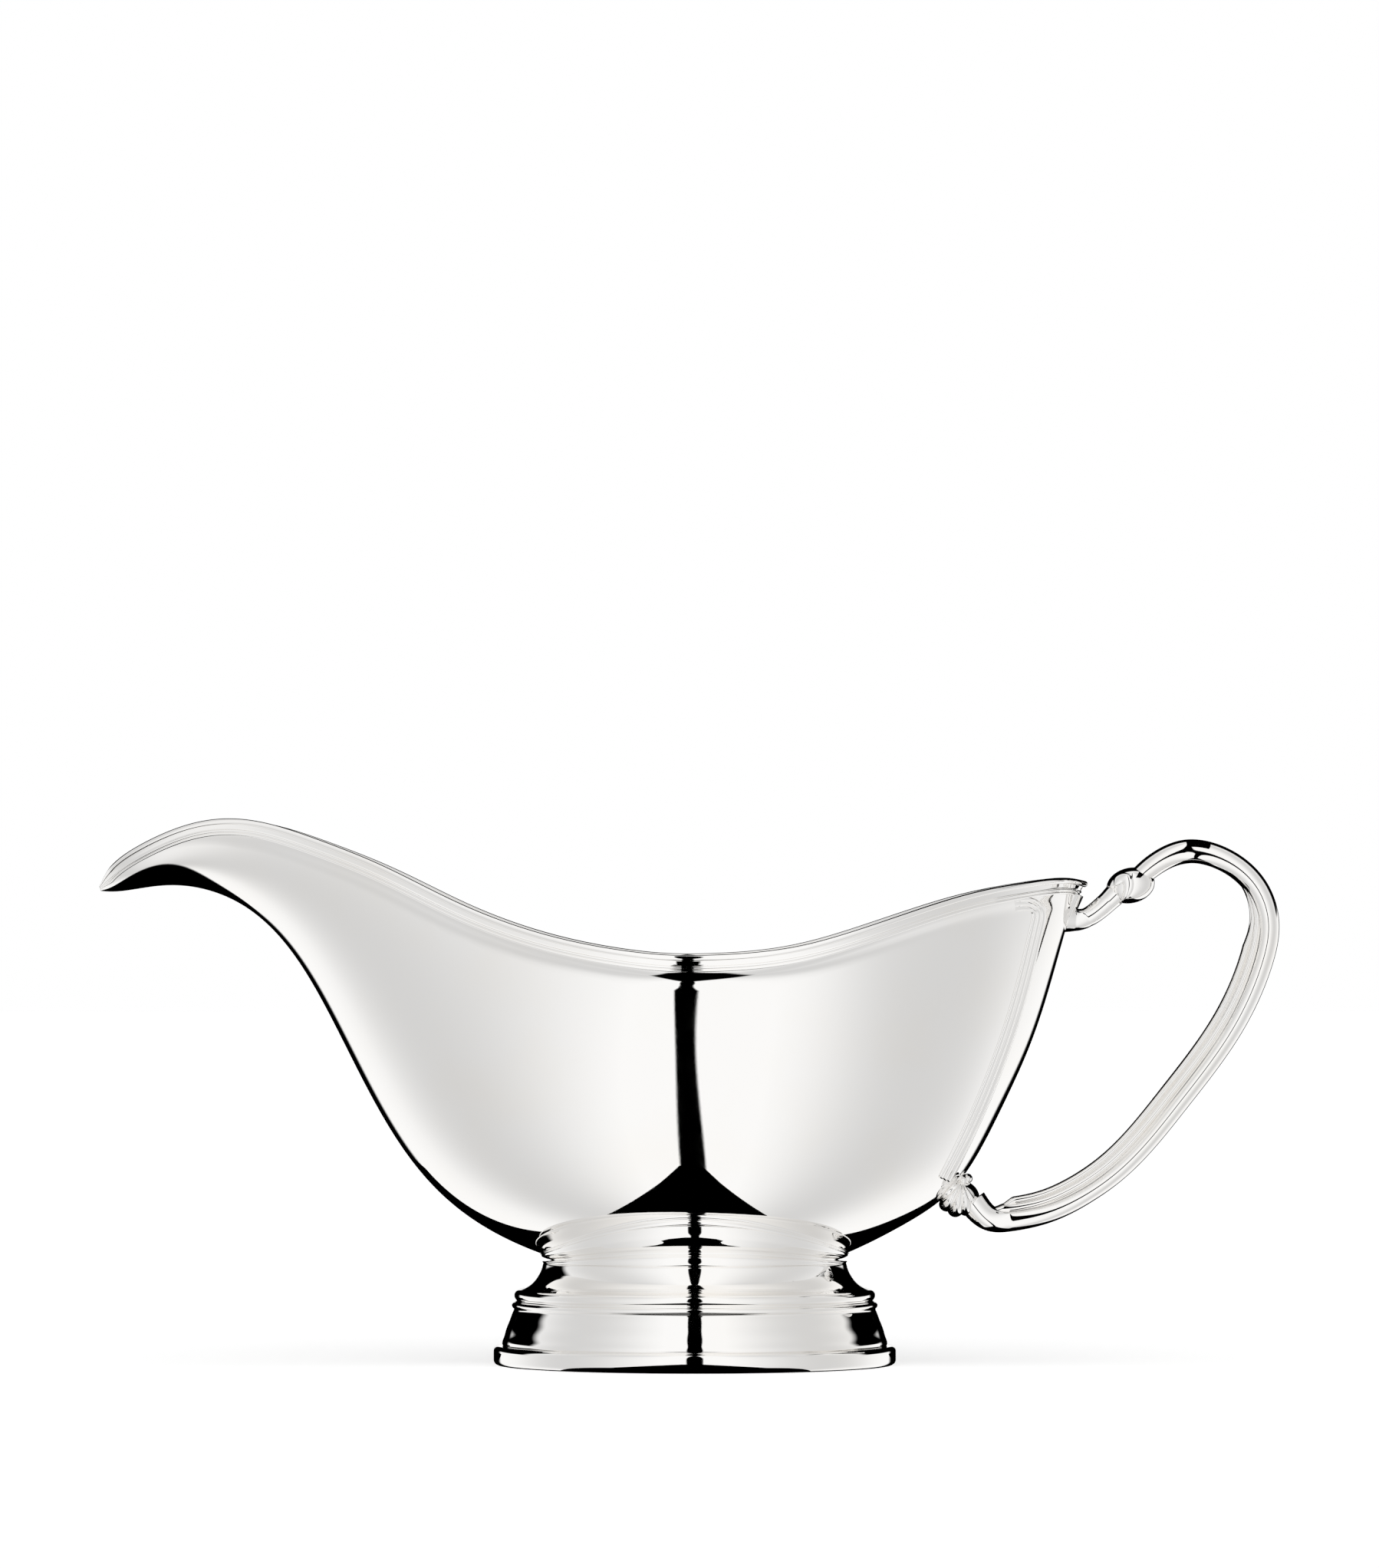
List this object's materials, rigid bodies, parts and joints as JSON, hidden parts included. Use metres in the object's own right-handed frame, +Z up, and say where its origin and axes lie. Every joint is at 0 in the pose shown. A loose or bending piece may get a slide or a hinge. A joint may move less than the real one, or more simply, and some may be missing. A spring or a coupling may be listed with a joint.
{
  "type": "gravy boat",
  "caption": "Footed gravy boat of polished silver-plated metal with a long curved spout, moulded rim, oval stepped foot and a looped handle.",
  "frame": {"origin": "on the table under the middle of the whole piece, spout tip to handle", "axes": "+X from the spout towards the handle, +Y across the bowl, +Z up"},
  "size_m": [0.2397, 0.086, 0.1106],
  "materials": {
    "silver_plate": "mirror-polished silver plate"
  },
  "bodies": {
    "root": {"bowl": "silver_plate", "rim_moulding_left": "silver_plate", "rim_moulding_right": "silver_plate", "border_moulding_left": "silver_plate", "border_moulding_right": "silver_plate", "base_wire": "silver_plate", "foot": "silver_plate", "foot_collar": "silver_plate", "handle_lug": "silver_plate", "handle_stem": "silver_plate", "handle_knuckle": "silver_plate", "knuckle_leaf": "silver_plate", "handle_loop": "silver_plate", "lower_shell": "silver_plate"}
  },
  "joints": []
}
